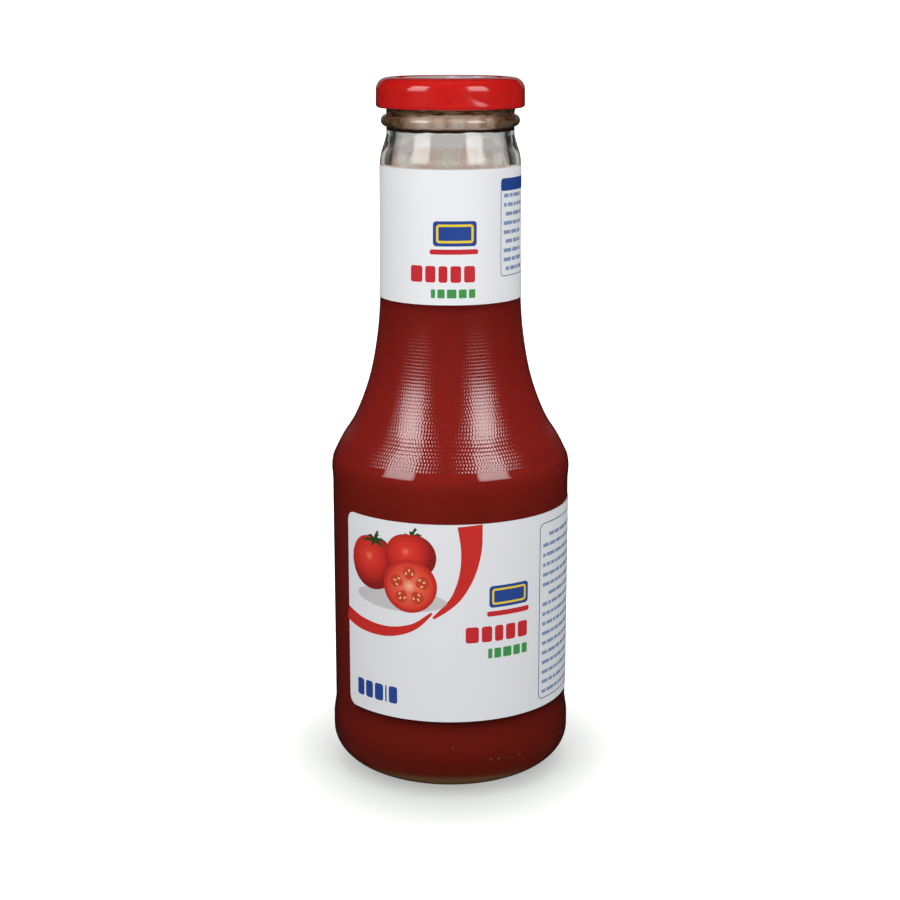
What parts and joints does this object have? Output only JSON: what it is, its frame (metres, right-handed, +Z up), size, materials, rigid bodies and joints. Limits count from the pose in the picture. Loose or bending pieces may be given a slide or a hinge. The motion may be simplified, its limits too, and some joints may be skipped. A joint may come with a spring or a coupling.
{
  "type": "ketchup bottle",
  "caption": "Full glass bottle of ketchup with a twist-off metal lid, a sleeve label on the neck and a wrapped label on the round body.",
  "frame": {"origin": "middle of the ring that the bottle stands on", "axes": "+Z up along the bottle's axis, the front of both labels faces -Y"},
  "size_m": [0.0752, 0.0752, 0.2159],
  "materials": {
    "clear_glass": "clear flint glass, glossy, with a fine raised stipple on shoulder and neck",
    "ketchup": "wet tomato sauce, dark red, pressed smooth against the glass",
    "red_lacquered_tinplate": "glossy red lacquer on tinplate",
    "label_paper": "coated white label paper with flat colour print"
  },
  "bodies": {
    "root": {"glass_bottle": "clear_glass", "ketchup": "ketchup", "lid": "red_lacquered_tinplate", "neck_label": "label_paper", "body_label": "label_paper"}
  },
  "joints": []
}
